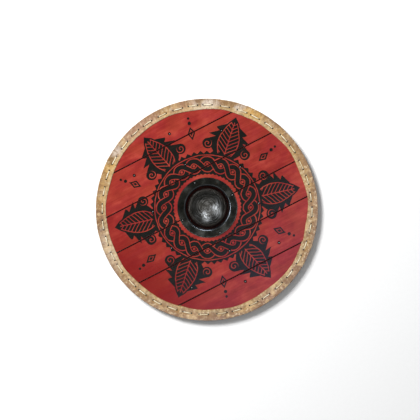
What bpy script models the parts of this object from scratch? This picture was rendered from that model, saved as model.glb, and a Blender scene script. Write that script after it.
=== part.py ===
"""Round shield: six planks laced into a rawhide edge, with an iron boss, a grip bar and two battens.

Run it with blender --background --python part.py, or from Blender's text editor.
The shield lies face up on the bars of its back. X runs along the planks, Y along the grip bar and Z up
through the boss. The origin is under the middle of the board, on the plane that the bars rest on. Sizes are in
metres.
"""

import math

import bmesh
import bpy
from mathutils import Matrix, Vector

# Touching pieces keep this gap, and nails and lace keep this much clear of the sides of their holes.
TOUCH = 0.0003
HOLE_CLEARANCE = 0.0005

# The board. The height of its first seam above the middle, and then the widths of the planks that lie between
# two seams, are shares of its radius.
SHIELD_RADIUS = 0.400
BOARD_THICKNESS = 0.010
TOP_SEAM_SHARE = 0.67625
WHOLE_PLANK_SHARES = (0.3275, 0.3250, 0.3300, 0.34375)
SEAM_GAP = 0.0008
SEAM_CHAMFER = 0.0012

# The rawhide edge, folded over the board in strips that meet end to end
HIDE_STRIPS = 4
FIRST_JOINT_DEG = 39
HIDE_THICKNESS = 0.0018
HIDE_FOLD = 0.0018
HIDE_LAP = 0.0175

# The rawhide lace, a running stitch through hide and board. The hide laps past it, towards the middle.
STITCH_INSET = 0.0235
STITCH_LENGTH = 0.0330
STITCH_GAP = 0.0262
LACE_WIDTH = 0.0038
LACE_THICKNESS = 0.0015

# The iron boss, set a little off the middle of the board, over a round hole for the hand
BOSS_X = 0.005
BOSS_Y = 0.006
BOSS_THICKNESS = 0.002
DOME_RADIUS = 0.078
DOME_RISE = 0.055
NECK_HEIGHT = 0.011
FILLET_RADIUS = 0.007
FLANGE_FLAT = 0.0235
HAND_HOLE_LIP = 0.011

# The bars of the back, thinner at their tips. The grip bar is slim at the hand, and full beside the hole for
# it. The battens' distance from the middle is a share of the shield's radius.
BAR_TIP_THICKNESS = 0.011
BAR_SWELL = 0.009
TIP_TAPER = 0.060
BAR_CHAMFER = 0.003
GRIP_WIDTH = 0.032
GRIP_SHOULDER = 0.020
GRIP_BAR_WIDTH = 0.044
GRIP_BAR_TIP_WIDTH = 0.028
GRIP_BAR_END_GAP = 0.027
BATTEN_WIDTH = 0.040
BATTEN_TIP_WIDTH = 0.034
BATTEN_X_SHARE = 0.44
BATTEN_Y = 0.0025
BATTEN_END_GAP = 0.036

# The nails. The shanks end inside the bars, or are peened over behind the board where there is no bar.
HEAD_RADIUS = 0.0055
HEAD_HEIGHT = 0.0028
SHANK_RADIUS = 0.0020
WOOD_UNDER_NAIL = 0.003
PEEN_RADIUS = 0.0045
PEEN_HEIGHT = 0.0016
BOSS_NAIL_TO_EDGE = 0.0085
GRIP_BAR_NAIL_TO_BOSS = 0.0655
GRIP_BAR_NAIL_TO_TIP = 0.027
BATTEN_NAIL_TO_SEAM = 0.0733
BATTEN_NAIL_TO_TIP = 0.036

# How finely round shapes are cut
EDGE_SEGMENTS = 48
DOME_STEPS = 28
HAND_HOLE_STEPS = 28
NAIL_STEPS = 6
GRIP_BAR_CUTS = 11
BATTEN_CUTS = 7
SMOOTH_BELOW = math.radians(35)

# How far a cutter runs past what it cuts
OVERCUT = 0.005

# Heights of the layers, from the plane that the bars rest on
BAR_THICKNESS = BAR_TIP_THICKNESS + BAR_SWELL
BOARD_BACK = BAR_THICKNESS + TOUCH
BOARD_FRONT = BOARD_BACK + BOARD_THICKNESS
BOSS_BASE = BOARD_FRONT + TOUCH
HIDE_INSIDE_BACK = BOARD_BACK - TOUCH
HIDE_INSIDE_FRONT = BOARD_FRONT + TOUCH
HIDE_BACK = HIDE_INSIDE_BACK - HIDE_THICKNESS
HIDE_FRONT = HIDE_INSIDE_FRONT + HIDE_THICKNESS
NAIL_END = BOARD_BACK - BAR_TIP_THICKNESS + WOOD_UNDER_NAIL

# Radii from the middle of the board
HIDE_INSIDE_RADIUS = SHIELD_RADIUS - HIDE_THICKNESS
BOARD_RADIUS = HIDE_INSIDE_RADIUS - TOUCH
STITCH_RADIUS = SHIELD_RADIUS - STITCH_INSET
HIDE_MOUTH_RADIUS = STITCH_RADIUS - HIDE_LAP

# Radii from the middle of the boss, and the height of its dome's widest circle above its base
FLANGE_RADIUS = DOME_RADIUS + FILLET_RADIUS + FLANGE_FLAT
BOSS_NAIL_RADIUS = FLANGE_RADIUS - BOSS_NAIL_TO_EDGE
HAND_HOLE_RADIUS = DOME_RADIUS - BOSS_THICKNESS - HAND_HOLE_LIP
DOME_BASE = BOSS_THICKNESS + FILLET_RADIUS + NECK_HEIGHT

# The stitches, as many as fit a whole number of times into each strip of the hide
FIRST_JOINT = math.radians(FIRST_JOINT_DEG)
STRIP_ANGLE = 2 * math.pi / HIDE_STRIPS
STITCH_SHARE = STITCH_LENGTH / (STITCH_LENGTH + STITCH_GAP)
STITCHES_IN_STRIP = max(1, round(STITCH_RADIUS * STRIP_ANGLE / (STITCH_LENGTH + STITCH_GAP)))
STITCH_COUNT = HIDE_STRIPS * STITCHES_IN_STRIP
STITCH_PITCH = STRIP_ANGLE / STITCHES_IN_STRIP


def half_chord(x):
    """How far a line at this x runs from the X axis to the hide's inner edge."""
    return math.sqrt(HIDE_MOUTH_RADIUS**2 - x**2)


# The bars' places and half lengths
BATTEN_X = BATTEN_X_SHARE * SHIELD_RADIUS
GRIP_BAR_REACH = half_chord(abs(BOSS_X) + GRIP_BAR_WIDTH / 2) - abs(BOSS_Y) - GRIP_BAR_END_GAP
BATTEN_REACH = half_chord(BATTEN_X + BATTEN_WIDTH / 2) - abs(BATTEN_Y) - BATTEN_END_GAP


def clear_scene():
    for obj in list(bpy.data.objects):
        bpy.data.objects.remove(obj, do_unlink=True)


def collection(name):
    made = bpy.data.collections.new(name)
    bpy.context.scene.collection.children.link(made)
    return made


def material(name, colour, roughness, metallic=0.0):
    made = bpy.data.materials.new(name)
    made.use_nodes = True
    shader = made.node_tree.nodes["Principled BSDF"]
    shader.inputs["Base Color"].default_value = (*colour, 1.0)
    shader.inputs["Roughness"].default_value = roughness
    shader.inputs["Metallic"].default_value = metallic
    made.diffuse_color = (*colour, 1.0)
    return made


def mesh_of(name, bm):
    """The finished bmesh as a mesh, with its faces pointing out and its gentle edges shaded smooth."""
    bmesh.ops.recalc_face_normals(bm, faces=bm.faces)
    mesh = bpy.data.meshes.new(name)
    bm.to_mesh(mesh)
    bm.free()
    mesh.shade_smooth()
    mesh.set_sharp_from_angle(angle=SMOOTH_BELOW)
    return mesh


def part(name, mesh, finish, place=(0, 0, 0)):
    """One sub-part of the shield."""
    obj = bpy.data.objects.new(name, mesh)
    if not mesh.materials:
        mesh.materials.append(finish)
    obj.location = place
    SHIELD.objects.link(obj)
    return obj


def cutter(name, bm):
    """A helper that cuts holes and isn't part of the shield."""
    obj = bpy.data.objects.new(name, mesh_of(name, bm))
    obj.hide_render = True
    obj.display_type = "WIRE"
    CUTTERS.objects.link(obj)
    return obj


def boolean(obj, tool, operation="DIFFERENCE"):
    modifier = obj.modifiers.new(f"{operation.lower()} {tool.name}", "BOOLEAN")
    modifier.operation = operation
    modifier.object = tool


def chamfer(obj, width):
    modifier = obj.modifiers.new("chamfered edges", "BEVEL")
    modifier.width = width
    modifier.segments = 1
    modifier.limit_method = "ANGLE"
    modifier.angle_limit = math.radians(40)


def turn_on_lathe(obj, steps):
    modifier = obj.modifiers.new("turned", "SCREW")
    modifier.steps = steps
    modifier.render_steps = steps
    modifier.use_merge_vertices = True
    modifier.merge_threshold = 0.0001


def add_box(bm, low, high, turn=0.0):
    """A box from its lowest to its highest corner, then turned about Z."""
    middle = [(a + b) / 2 for a, b in zip(low, high)]
    size = [b - a for a, b in zip(low, high)]
    matrix = Matrix.Rotation(turn, 4, "Z") @ Matrix.Translation(middle) @ Matrix.Diagonal((*size, 1))
    bmesh.ops.create_cube(bm, size=1, matrix=matrix)


def add_cylinder(bm, radius, x, y, low, high, steps, turn=0.0):
    matrix = Matrix.Translation((x, y, (low + high) / 2)) @ Matrix.Rotation(turn, 4, "Z")
    bmesh.ops.create_cone(
        bm, cap_ends=True, segments=steps, radius1=radius, radius2=radius, depth=high - low, matrix=matrix
    )


def profile_mesh(name, points):
    """A turned shape's outline as (radius, height) points, down its outer side from the top of the axis."""
    mesh = bpy.data.meshes.new(name)
    edges = [(i, i + 1) for i in range(len(points) - 1)]
    mesh.from_pydata([(r, 0, z) for r, z in points], edges, [])
    return mesh


def arc(centre_r, centre_z, radius_r, radius_z, start_deg, end_deg, steps):
    """Points on an ellipse from one angle to another, both ends included."""
    angles = [math.radians(start_deg + (end_deg - start_deg) * i / steps) for i in range(steps + 1)]
    return [(centre_r + radius_r * math.cos(a), centre_z + radius_z * math.sin(a)) for a in angles]


def blend(start, end, share):
    """From start to end along a smooth S, as share goes from 0 to 1."""
    share = min(max(share, 0), 1)
    return start + (end - start) * (1 - math.cos(math.pi * share)) / 2


def seams():
    """The heights of the seams between planks, from the top one down."""
    heights = [TOP_SEAM_SHARE * SHIELD_RADIUS]
    for share in WHOLE_PLANK_SHARES:
        heights.append(heights[-1] - share * SHIELD_RADIUS)
    return heights


def stitch_ends(stitch):
    """The angles of the two holes of one stitch. The hide's joints fall between two stitches."""
    middle = FIRST_JOINT + (stitch + 0.5) * STITCH_PITCH
    half = STITCH_PITCH * STITCH_SHARE / 2
    return middle - half, middle + half


def grip_bar_nail_places():
    """Two nails at each end of the grip bar, one beyond the boss's flange and one near the tip."""
    near = FLANGE_RADIUS + GRIP_BAR_NAIL_TO_BOSS
    far = GRIP_BAR_REACH - GRIP_BAR_NAIL_TO_TIP
    return [(BOSS_X, BOSS_Y + along) for along in (far, near, -near, -far)]


def batten_nail_places():
    """Each batten has a nail near each tip, and one on each side of the seam nearest its middle."""
    middle_seam = min(seams(), key=abs)
    tip_nail = BATTEN_REACH - BATTEN_NAIL_TO_TIP
    heights = (
        BATTEN_Y + tip_nail,
        middle_seam + BATTEN_NAIL_TO_SEAM,
        middle_seam - BATTEN_NAIL_TO_SEAM,
        BATTEN_Y - tip_nail,
    )
    return [(x, y) for x in (-BATTEN_X, BATTEN_X) for y in heights]


def boss_nail_places():
    """Right, top, left and bottom of the boss. The grip bar lies behind the top and bottom ones."""
    places = []
    for quarter in range(4):
        angle = quarter * math.pi / 2
        across = BOSS_NAIL_RADIUS * math.cos(angle)
        along = BOSS_NAIL_RADIUS * math.sin(angle)
        places.append((BOSS_X + across, BOSS_Y + along))
    return places


def lace_drill():
    """A square hole for each pass of the lace, through hide, board and hide."""
    bm = bmesh.new()
    half = LACE_WIDTH / 2 + HOLE_CLEARANCE
    low = (STITCH_RADIUS - half, -half, HIDE_BACK - OVERCUT)
    high = (STITCH_RADIUS + half, half, HIDE_FRONT + OVERCUT)
    for stitch in range(STITCH_COUNT):
        for angle in stitch_ends(stitch):
            add_box(bm, low, high, angle)
    return cutter("lace_drill", bm)


def nail_drill():
    """A square hole for each nail, blind where a bar takes it and right through the board elsewhere."""
    bm = bmesh.new()
    half = SHANK_RADIUS + HOLE_CLEARANCE
    top = BOSS_BASE + BOSS_THICKNESS + OVERCUT
    right, upper, left, lower = boss_nail_places()
    for x, y in (*grip_bar_nail_places(), *batten_nail_places(), upper, lower):
        add_box(bm, (x - half, y - half, NAIL_END - HOLE_CLEARANCE), (x + half, y + half, top))
    for x, y in (right, left):
        add_box(bm, (x - half, y - half, BOARD_BACK - OVERCUT), (x + half, y + half, top))
    return cutter("nail_drill", bm)


def hand_hole_saw():
    bm = bmesh.new()
    low, high = BOARD_BACK - OVERCUT, BOARD_FRONT + OVERCUT
    add_cylinder(bm, HAND_HOLE_RADIUS, BOSS_X, BOSS_Y, low, high, HAND_HOLE_STEPS)
    return cutter("hand_hole_saw", bm)


def board_disc():
    """The board's round outline. Its corners stand where the hide's do, so the gap between them is even."""
    bm = bmesh.new()
    low, high = BOARD_BACK - OVERCUT, BOARD_FRONT + OVERCUT
    add_cylinder(bm, BOARD_RADIUS, 0, 0, low, high, EDGE_SEGMENTS, FIRST_JOINT)
    return cutter("board_disc", bm)


def make_planks(finish, disc, drills):
    """Planks from the top down, with chamfered edges. The first and the last run out to the disc."""
    outside = SHIELD_RADIUS + OVERCUT
    tops = [outside, *seams()]
    bottoms = [*seams(), -outside]
    for number, (top, bottom) in enumerate(zip(tops, bottoms), 1):
        bm = bmesh.new()
        add_box(bm, (-outside, bottom + SEAM_GAP / 2, BOARD_BACK), (outside, top - SEAM_GAP / 2, BOARD_FRONT))
        plank = part(f"plank_{number}", mesh_of("plank", bm), finish)
        chamfer(plank, SEAM_CHAMFER)
        boolean(plank, disc, "INTERSECT")
        for drill in drills:
            boolean(plank, drill)


def hide_section():
    """The folded hide's U shape as (radius, height) points, with the corners of its fold cut off."""
    return [
        (HIDE_MOUTH_RADIUS, HIDE_INSIDE_FRONT),
        (HIDE_INSIDE_RADIUS, HIDE_INSIDE_FRONT),
        (HIDE_INSIDE_RADIUS, HIDE_INSIDE_BACK),
        (HIDE_MOUTH_RADIUS, HIDE_INSIDE_BACK),
        (HIDE_MOUTH_RADIUS, HIDE_BACK),
        (SHIELD_RADIUS - HIDE_FOLD, HIDE_BACK),
        (SHIELD_RADIUS, HIDE_BACK + HIDE_FOLD),
        (SHIELD_RADIUS, HIDE_FRONT - HIDE_FOLD),
        (SHIELD_RADIUS - HIDE_FOLD, HIDE_FRONT),
        (HIDE_MOUTH_RADIUS, HIDE_FRONT),
    ]


def make_hide(finish, drill):
    """Equal strips of rawhide, each spun from the hide's section and drilled for the lace."""
    half_gap = TOUCH / 2 / HIDE_MOUTH_RADIUS
    steps = round(EDGE_SEGMENTS / HIDE_STRIPS)
    for number in range(HIDE_STRIPS):
        start = FIRST_JOINT + number * STRIP_ANGLE + half_gap
        sweep = STRIP_ANGLE - 2 * half_gap
        bm = bmesh.new()
        corners = [bm.verts.new((r, 0, z)) for r, z in hide_section()]
        section = bm.faces.new(corners)
        bmesh.ops.rotate(bm, verts=corners, matrix=Matrix.Rotation(start, 3, "Z"))
        bmesh.ops.spin(bm, geom=[section], cent=(0, 0, 0), axis=(0, 0, 1), angle=sweep, steps=steps)
        strip = part(f"rawhide_edge_{number + 1}", mesh_of("rawhide_edge", bm), finish)
        boolean(strip, drill)


def make_lacing(finish):
    """One flat lace all round. It comes up through each stitch's first hole and goes down through the other."""
    half = LACE_THICKNESS / 2
    above = HIDE_FRONT + TOUCH + half
    below = HIDE_BACK - TOUCH - half
    bends = []
    for stitch in range(STITCH_COUNT):
        up, down = stitch_ends(stitch)
        bends += [(up, below, -1), (up, above, -1), (down, above, 1), (down, below, 1)]
    bm = bmesh.new()
    rings = []
    for angle, height, lean in bends:
        turn = Matrix.Rotation(angle, 3, "Z")
        corners = []
        for layer, edge in ((1, -1), (1, 1), (-1, 1), (-1, -1)):
            radius = STITCH_RADIUS + edge * LACE_WIDTH / 2
            place = Vector((radius, lean * layer * half, height + layer * half))
            corners.append(bm.verts.new(turn @ place))
        rings.append(corners)
    for first, second in zip(rings, rings[1:] + rings[:1]):
        for i in range(4):
            j = (i + 1) % 4
            bm.faces.new((first[i], first[j], second[j], second[i]))
    part("edge_lacing", mesh_of("edge_lacing", bm), finish)


def boss_profile():
    """Down the outside of the dome, over the flange, and back up the inside to the axis."""
    wall = BOSS_THICKNESS
    inner_fillet = FILLET_RADIUS + wall
    fillet_centre = DOME_RADIUS + FILLET_RADIUS
    return [
        (0, DOME_BASE + DOME_RISE),
        *arc(0, DOME_BASE, DOME_RADIUS, DOME_RISE, 90, 0, 6)[1:],
        *arc(fillet_centre, inner_fillet, FILLET_RADIUS, FILLET_RADIUS, 180, 270, 3),
        (FLANGE_RADIUS, wall),
        (FLANGE_RADIUS, 0),
        *arc(fillet_centre, inner_fillet, inner_fillet, inner_fillet, 270, 180, 2),
        *arc(0, DOME_BASE, DOME_RADIUS - wall, DOME_RISE - wall, 0, 90, 4)[:-1],
        (0, DOME_BASE + DOME_RISE - wall),
    ]


def make_boss(finish, drill):
    boss = part("boss", profile_mesh("boss", boss_profile()), finish, (BOSS_X, BOSS_Y, BOSS_BASE))
    turn_on_lathe(boss, DOME_STEPS)
    boolean(boss, drill)


def nail_profile(shank_length, peened=False):
    """A nail whose head stands on height 0. A peened one has a second, smaller head at its other end."""
    head = [(0, HEAD_HEIGHT), (HEAD_RADIUS, 0), (SHANK_RADIUS, 0), (SHANK_RADIUS, -shank_length)]
    if peened:
        return head + [(PEEN_RADIUS, -shank_length), (0, -shank_length - PEEN_HEIGHT)]
    return head + [(0, -shank_length)]


def make_nails(finish):
    """Each nail is its own piece. Nails of one kind share a mesh."""
    on_board = BOARD_FRONT + TOUCH
    on_boss = BOSS_BASE + BOSS_THICKNESS + TOUCH
    board_nail = profile_mesh("board_nail", nail_profile(on_board - NAIL_END))
    long_nail = profile_mesh("long_nail", nail_profile(on_boss - NAIL_END))
    rivet = profile_mesh("rivet", nail_profile(on_boss - BOARD_BACK + TOUCH, peened=True))
    nails = []
    for number, (x, y) in enumerate(grip_bar_nail_places(), 1):
        nails.append(part(f"grip_bar_nail_{number}", board_nail, finish, (x, y, on_board)))
    for number, (x, y) in enumerate(batten_nail_places(), 1):
        nails.append(part(f"batten_nail_{number}", board_nail, finish, (x, y, on_board)))
    for number, (x, y) in enumerate(boss_nail_places(), 1):
        nails.append(part(f"boss_nail_{number}", rivet if number % 2 else long_nail, finish, (x, y, on_boss)))
    for nail in nails:
        turn_on_lathe(nail, NAIL_STEPS)


def grip_bar_half_width(along):
    """Slim at the hand, full where the bar has passed the hand hole, and slim again at the tips."""
    shoulder = HAND_HOLE_RADIUS + GRIP_SHOULDER
    if along < shoulder:
        return blend(GRIP_WIDTH, GRIP_BAR_WIDTH, along / shoulder) / 2
    return blend(GRIP_BAR_WIDTH, GRIP_BAR_TIP_WIDTH, (along - shoulder) / (GRIP_BAR_REACH - shoulder)) / 2


def batten_half_width(along):
    return blend(BATTEN_WIDTH, BATTEN_TIP_WIDTH, along / BATTEN_REACH) / 2


def make_bar(name, place, reach, half_width, cuts, finish, drill):
    """A bar along Y under the board, reaching this far each way, with its underside rising at the tips."""
    bm = bmesh.new()
    bmesh.ops.create_cube(bm, size=1)
    lengthways = [e for e in bm.edges if e.verts[0].co.y != e.verts[1].co.y]
    bmesh.ops.subdivide_edges(bm, edges=lengthways, cuts=cuts, use_grid_fill=True)
    for vert in bm.verts:
        along = 2 * vert.co.y * reach
        underside = blend(0, BAR_SWELL, (abs(along) - reach + TIP_TAPER) / TIP_TAPER)
        vert.co.x = math.copysign(half_width(abs(along)), vert.co.x)
        vert.co.y = along
        vert.co.z = BAR_THICKNESS if vert.co.z > 0 else underside
    bar = part(name, mesh_of(name, bm), finish, place)
    chamfer(bar, BAR_CHAMFER)
    boolean(bar, drill)


clear_scene()
SHIELD = collection("round_shield")
CUTTERS = collection("cutters")

red_paint = material("red_painted_wood", (0.36, 0.035, 0.03), 0.55)
pine = material("oiled_pine", (0.33, 0.19, 0.09), 0.6)
rawhide = material("rawhide", (0.60, 0.42, 0.21), 0.45)
lace = material("rawhide_lace", (0.78, 0.66, 0.42), 0.5)
iron = material("blackened_iron", (0.035, 0.035, 0.035), 0.4, 1.0)
nail_iron = material("nail_iron", (0.02, 0.02, 0.02), 0.45, 1.0)

lace_holes = lace_drill()
nail_holes = nail_drill()

make_planks(red_paint, board_disc(), (lace_holes, nail_holes, hand_hole_saw()))
make_hide(rawhide, lace_holes)
make_lacing(lace)
make_boss(iron, nail_holes)
make_bar(
    "grip_bar", (BOSS_X, BOSS_Y, 0), GRIP_BAR_REACH, grip_bar_half_width, GRIP_BAR_CUTS, pine, nail_holes
)
for name, x in (("batten_left", -BATTEN_X), ("batten_right", BATTEN_X)):
    make_bar(name, (x, BATTEN_Y, 0), BATTEN_REACH, batten_half_width, BATTEN_CUTS, pine, nail_holes)
make_nails(nail_iron)
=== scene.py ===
"""Round shield dressed for its picture: painted planks, stitched rawhide edge, iron boss and bars behind.

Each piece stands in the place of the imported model's nodes. X runs along the planks, Y along the grip bar
and Z out through the boss. Sizes are in metres.
"""

import math
import random

import bmesh
import bpy
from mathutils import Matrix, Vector, noise


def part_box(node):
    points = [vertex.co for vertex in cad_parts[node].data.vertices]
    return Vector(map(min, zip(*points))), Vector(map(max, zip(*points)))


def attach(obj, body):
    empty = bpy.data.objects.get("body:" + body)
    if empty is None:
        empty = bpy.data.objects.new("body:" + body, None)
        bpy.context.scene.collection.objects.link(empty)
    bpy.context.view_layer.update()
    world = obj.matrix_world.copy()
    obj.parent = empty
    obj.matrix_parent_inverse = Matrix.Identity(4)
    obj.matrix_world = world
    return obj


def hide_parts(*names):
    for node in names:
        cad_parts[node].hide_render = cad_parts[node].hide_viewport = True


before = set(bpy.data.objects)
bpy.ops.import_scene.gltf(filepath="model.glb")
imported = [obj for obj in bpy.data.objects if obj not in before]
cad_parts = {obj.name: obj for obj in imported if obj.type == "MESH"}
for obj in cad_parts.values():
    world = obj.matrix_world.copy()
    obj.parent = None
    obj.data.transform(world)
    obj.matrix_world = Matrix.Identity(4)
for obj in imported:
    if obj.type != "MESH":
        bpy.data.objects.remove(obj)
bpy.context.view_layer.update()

BODY = "root"

# The board, and how far apart the points of a plank's faces lie across it and along it
SHIELD_RADIUS = 0.4
BOARD_RADIUS = 0.3979
BOARD_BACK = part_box("plank_1")[0].z
BOARD_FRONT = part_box("plank_1")[1].z
PLANK_COUNT = 6
HAND_HOLE_RADIUS = 0.065
EDGE_ROUND = 0.0016
END_ROW_INSET = 0.0003
PLANK_ROW = 0.0034
PLANK_COLUMN = 0.0045
PLANK_CREASE_DEG = 40

# The rawhide edge. Each strip starts, thinned, under the raised end of the one before.
HIDE_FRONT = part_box("rawhide_edge_1")[1].z
HIDE_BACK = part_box("rawhide_edge_1")[0].z
HIDE_MIDDLE = (HIDE_FRONT + HIDE_BACK) / 2
MOUTH_RADIUS = 0.361
HIDE_ENDS_DEG = (41.8, 126.8, 228.8, 314.8)
HIDE_COLUMN = 0.0028
HIDE_OVERLAP = 0.014
HIDE_SKIVE = 0.0011
HIDE_LIFT = 0.0014
FOLD_DEPTH = 0.005
FOLD_STEPS = 12

# How far the hide's surface may sink, how deep a slit is cut, and how far both together may go
DENT_LIMIT = 0.0012
SLIT_DEPTH = 0.0012
SLIT_LIMIT = 0.0016

# Where the hide's section has points: in front, at its outer edge, behind and inside
FRONT_RADII = (0.3705, 0.3722, 0.3736, 0.3748, 0.3757, 0.3766, 0.3775, 0.3785, 0.3797, 0.3812, 0.383, 0.3855)
OUTER_RADII = (0.388, 0.3905, 0.393)
BACK_RADII = (0.392, 0.3885, 0.385, 0.382, 0.3795, 0.378, 0.3765, 0.375, 0.3735, 0.3715, 0.369)
INSIDE_RADII = (0.3925, 0.3982)

# The stitches, the lace and its holes. A hole's middle lies a little beyond the stitch's end, and the hide
# gives way to the pull around it, out to PULL_REACH in radians.
STITCH_RADIUS = 0.3765
STITCH_COUNT = 40
FIRST_STITCH_DEG = 43.5
STITCH_PITCH = 2 * math.pi / STITCH_COUNT
STITCH_SHARE = 0.485
LACE_WIDTH = 0.0033
LACE_THICKNESS = 0.0014
LACE_CORNER = 0.0016
LACE_SIDES = 10
HOLE_RADIUS = 0.003
HOLE_BEYOND = 0.0025
PULL_REACH = 0.04
HOLE_COLUMNS = (-0.004, -0.0031, -0.0024, -0.0014, 0.0, 0.0014, 0.0024, 0.0031, 0.004)
LEAST_COLUMN = 0.0003

# The boss
BOSS_LOW, BOSS_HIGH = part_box("boss")
BOSS_X = (BOSS_LOW.x + BOSS_HIGH.x) / 2
BOSS_Y = (BOSS_LOW.y + BOSS_HIGH.y) / 2
BOSS_BASE = BOSS_LOW.z
FLANGE_RADIUS = 0.1085
DOME_RADIUS = 0.078
DOME_BASE = 0.02
DOME_RISE = BOSS_HIGH.z - BOSS_BASE - DOME_BASE
FILLET_RADIUS = 0.007
BOSS_WALL = 0.002
BOSS_STEPS = 168

# The nails. A head's rings are given as shares of its radius and how far they lie under its top.
HEAD_RINGS = ((0.3, 0.0001), (0.58, 0.0005), (0.82, 0.0012), (0.97, 0.0021), (1.0, 0.0027))
HEAD_HEIGHT = 0.0033
SHANK_RADIUS = 0.002
PEEN_RADIUS = 0.0045
NAIL_SIDES = 18

# The bars of the back. Each pair is a distance from an end and the section's scale there, which is 1 from
# BAR_FULL on.
BAR_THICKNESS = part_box("grip_bar")[1].z
TIP_RISE = 0.009
TIP_TAPER = 0.06
TIP_SECTIONS = ((0.0, 0.72), (0.0012, 0.9), (0.0035, 0.985))
BAR_FULL = 0.007
BAR_STATION = 0.0065
BAR_SIDES = 28

# The photograph's view: the planks rise to the right by this angle
PLANK_TILT = math.radians(27.2)
VIEW_RIGHT = Vector((math.cos(PLANK_TILT), -math.sin(PLANK_TILT), 0))
VIEW_UP = Vector((math.sin(PLANK_TILT), math.cos(PLANK_TILT), 0))

# The camera: its height above the board, the width it sees there and how far right and up it aims
CAMERA_HEIGHT = 2.8
SEEN_WIDTH = 1.509
AIM_RIGHT = 0.0112
AIM_UP = -0.0012
SENSOR_MM = 36.0

# The floor: half its width, and the gap under the bars
FLOOR_HALF = 6.0
FLOOR_GAP = 0.0005


def ripple(x, y, z=0.0):
    """Smooth noise, mostly between -0.7 and 0.7, that changes over one unit."""
    return noise.noise(Vector((x, y, z)))


def ease(low, high, value):
    """From 0 at low to 1 at high, with a gentle start and end."""
    share = min(max((value - low) / (high - low), 0.0), 1.0)
    return share * share * (3 - 2 * share)


def spread(low, high, step):
    """Even numbers from low to high, about a step apart, both ends included."""
    count = max(1, round((high - low) / step))
    return [low + (high - low) * i / count for i in range(count + 1)]


# Materials


def operator(operation):
    """A field's method that adds a Math node."""
    return lambda self, *others: self.graph.math(operation, self, *others)


class Field:
    """A number or colour somewhere in a material's nodes, for plain arithmetic."""

    def __init__(self, graph, socket):
        self.graph = graph
        self.socket = socket

    __add__ = operator("ADD")
    __radd__ = __add__
    __sub__ = operator("SUBTRACT")
    __mul__ = operator("MULTIPLY")
    __truediv__ = operator("DIVIDE")
    __pow__ = operator("POWER")
    __abs__ = operator("ABSOLUTE")
    sine = operator("SINE")
    cosine = operator("COSINE")
    fract = operator("FRACT")

    def __rsub__(self, other):
        return self.graph.math("SUBTRACT", other, self)

    def ease(self, low, high):
        """From 0 at low to 1 at high, with a gentle start and end. Low may be the greater."""
        inputs = {"Value": self, "From Min": low, "From Max": high}
        return self.graph.node("ShaderNodeMapRange", inputs, interpolation_type="SMOOTHSTEP")

    def coats(self, *coats):
        """This colour with others laid over it in turn, given as pairs of share and colour."""
        tint = self
        for share, coat in coats:
            tint = self.graph.mix(share, tint, coat)
        return tint


class Graph:
    """One material and the nodes that feed its shader."""

    def __init__(self, name):
        self.material = bpy.data.materials.new(name)
        self.material.use_nodes = True
        self.tree = self.material.node_tree
        self.shader = self.tree.nodes["Principled BSDF"]

    def feed(self, socket, value):
        if isinstance(value, Field):
            self.tree.links.new(value.socket, socket)
        else:
            socket.default_value = value

    def node(self, kind, inputs, output=0, **settings):
        made = self.tree.nodes.new(kind)
        for key, value in settings.items():
            setattr(made, key, value)
        for key, value in inputs.items():
            self.feed(made.inputs[key], value)
        return Field(self, made.outputs[output])

    def math(self, operation, *values, clamp=False):
        return self.node("ShaderNodeMath", dict(enumerate(values)), operation=operation, use_clamp=clamp)

    def most(self, *values):
        result = values[0]
        for value in values[1:]:
            result = self.math("MAXIMUM", result, value)
        return result

    def length(self, x, y):
        return self.math("SQRT", x * x + y * y)

    def place(self):
        """Where the surface is, as x, y and z."""
        place = self.node("ShaderNodeTexCoord", {}, output="Object")
        split = self.tree.nodes.new("ShaderNodeSeparateXYZ")
        self.feed(split.inputs[0], place)
        return [Field(self, socket) for socket in split.outputs]

    def noise(self, x, y, z=0.0, detail=3.0, roughness=0.5):
        inputs = {
            "Vector": self.node("ShaderNodeCombineXYZ", {0: x, 1: y, 2: z}),
            "Scale": 1.0,
            "Detail": detail,
            "Roughness": roughness,
        }
        return self.node("ShaderNodeTexNoise", inputs)

    def attribute(self, name):
        return self.node("ShaderNodeAttribute", {}, output="Fac", attribute_name=name)

    def mix(self, share, first, second):
        inputs = {0: share, 6: colour(first), 7: colour(second)}
        return self.node("ShaderNodeMix", inputs, output=2, data_type="RGBA")

    def ramp(self, value, *stops):
        """Colours along a value from 0 to 1, given as pairs of place and colour."""
        made = self.tree.nodes.new("ShaderNodeValToRGB")
        elements = made.color_ramp.elements
        while len(elements) < len(stops):
            elements.new(0.5)
        for element, (place, tint) in zip(elements, stops):
            element.position = place
            element.color = colour(tint)
        self.feed(made.inputs[0], value)
        return Field(self, made.outputs[0])

    def bump(self, height, distance, strength):
        inputs = {"Height": height, "Distance": distance, "Strength": strength}
        return self.node("ShaderNodeBump", inputs)

    def finish(self, **inputs):
        """Feeds the shader and hands over the material. Names are the sockets' with _ for each space."""
        for key, value in inputs.items():
            self.feed(self.shader.inputs[key.replace("_", " ")], value)
        return self.material


def colour(tint):
    """What a colour socket takes: a field as it is, a plain colour made opaque."""
    return tint if isinstance(tint, Field) else (*tint, 1.0)


def across_picture(x, y):
    """How far right and up of the board's middle a place lies in the picture."""
    return x * VIEW_RIGHT.x + y * VIEW_RIGHT.y, x * VIEW_UP.x + y * VIEW_UP.y


# Painting by hand: how soft its edges are, how far its lines stray, and how often in a metre
PAINT_EDGE = 0.0008
SWAY = 0.0036
SWAY_RATE = 38

# The ornament, measured from the boss's axis: a black band with a plait of two strands drawn in red lines
BAND_EDGE = 0.195
BAND_INSIDE = 0.1225
BAND_BORDER = 0.006
PLAIT_RADIUS = 0.156
PLAIT_SWING = 0.018
PLAIT_WAVES = 10
STRAND_HALF = 0.0094
LINE_HALF = 0.0016
BEAD_RADIUS = 0.0045
TEETH = 54
TOOTH_HEIGHT = 0.01
INNER_TOOTH_HEIGHT = 0.004

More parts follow.
